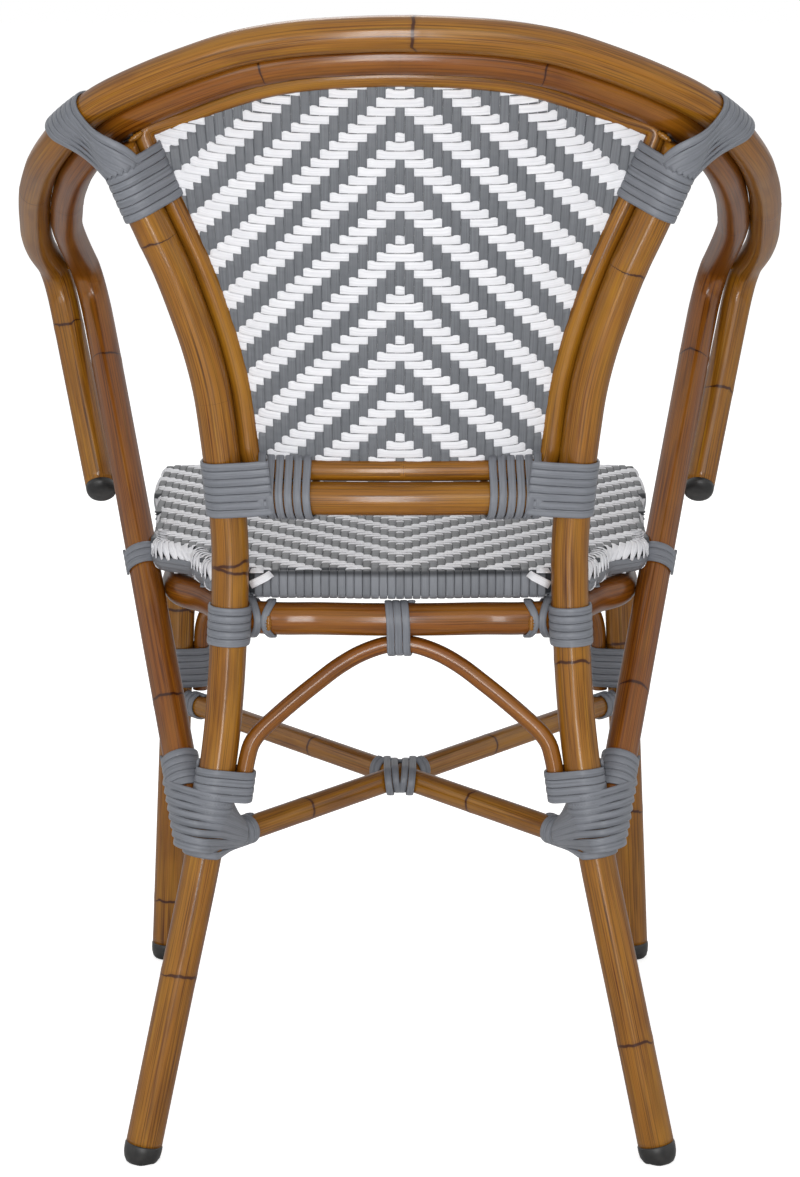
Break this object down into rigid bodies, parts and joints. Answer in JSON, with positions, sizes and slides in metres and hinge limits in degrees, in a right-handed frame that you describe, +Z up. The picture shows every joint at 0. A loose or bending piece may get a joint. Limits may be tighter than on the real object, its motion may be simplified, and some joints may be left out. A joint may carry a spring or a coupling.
{
  "type": "bistro armchair",
  "caption": "Outdoor bistro armchair with bent cane-look tubes, chevron-woven seat and back, open arms, crossed stretchers and arched braces.",
  "frame": {"origin": "bottom centre of the bounding box, on the floor between the four feet", "axes": "+Z up, the sitter looks toward -Y, the back of the chair is toward +Y, the sitter's left is toward +X"},
  "size_m": [0.6116, 0.5518, 0.8639],
  "materials": {
    "cane": "glossy painted cane look",
    "dark_cane": "glossy painted cane look, darker",
    "grey_strand": "satin extruded strand",
    "weave": "woven grey and white plastic strands",
    "black_plastic": "moulded, satin"
  },
  "bodies": {
    "root": {"outer_bow": "cane", "inner_bow": "dark_cane", "rear_leg_left": "cane", "rear_leg_right": "cane", "back_hoop": "cane", "lower_rail": "cane", "seat_ring": "cane", "front_leg_left": "cane", "front_leg_right": "cane", "rear_arch": "dark_cane", "front_arch": "dark_cane", "long_stretcher": "cane", "half_stretcher_rear": "cane", "half_stretcher_front": "cane", "rear_foot_left": "black_plastic", "rear_foot_right": "black_plastic", "front_foot_left": "black_plastic", "front_foot_right": "black_plastic", "arm_cap_left": "black_plastic", "arm_cap_right": "black_plastic", "woven_back": "weave", "woven_seat": "weave", "stile_lashing_left": "grey_strand", "stile_lashing_right": "grey_strand", "rail_lashing_left": "grey_strand", "rail_lashing_right": "grey_strand", "post_lashing_left": "grey_strand", "post_lashing_right": "grey_strand", "corner_lashing_left": "grey_strand", "corner_lashing_right": "grey_strand", "ring_lashing_left": "grey_strand", "ring_lashing_right": "grey_strand", "ring_collar_left": "grey_strand", "ring_collar_right": "grey_strand", "bow_tie_left": "grey_strand", "bow_tie_right": "grey_strand", "rear_arch_lashing_left": "grey_strand", "rear_arch_lashing_right": "grey_strand", "fan_lashing_left": "grey_strand", "fan_lashing_right": "grey_strand", "bow_collar_left": "grey_strand", "bow_collar_right": "grey_strand", "rear_collar_left": "grey_strand", "rear_collar_right": "grey_strand", "front_collar_left": "grey_strand", "front_collar_right": "grey_strand", "front_arch_lashing_left": "grey_strand", "front_arch_lashing_right": "grey_strand", "centre_lashing_left": "grey_strand", "centre_lashing_right": "grey_strand", "rear_tie": "grey_strand", "front_tie": "grey_strand"}
  },
  "joints": []
}
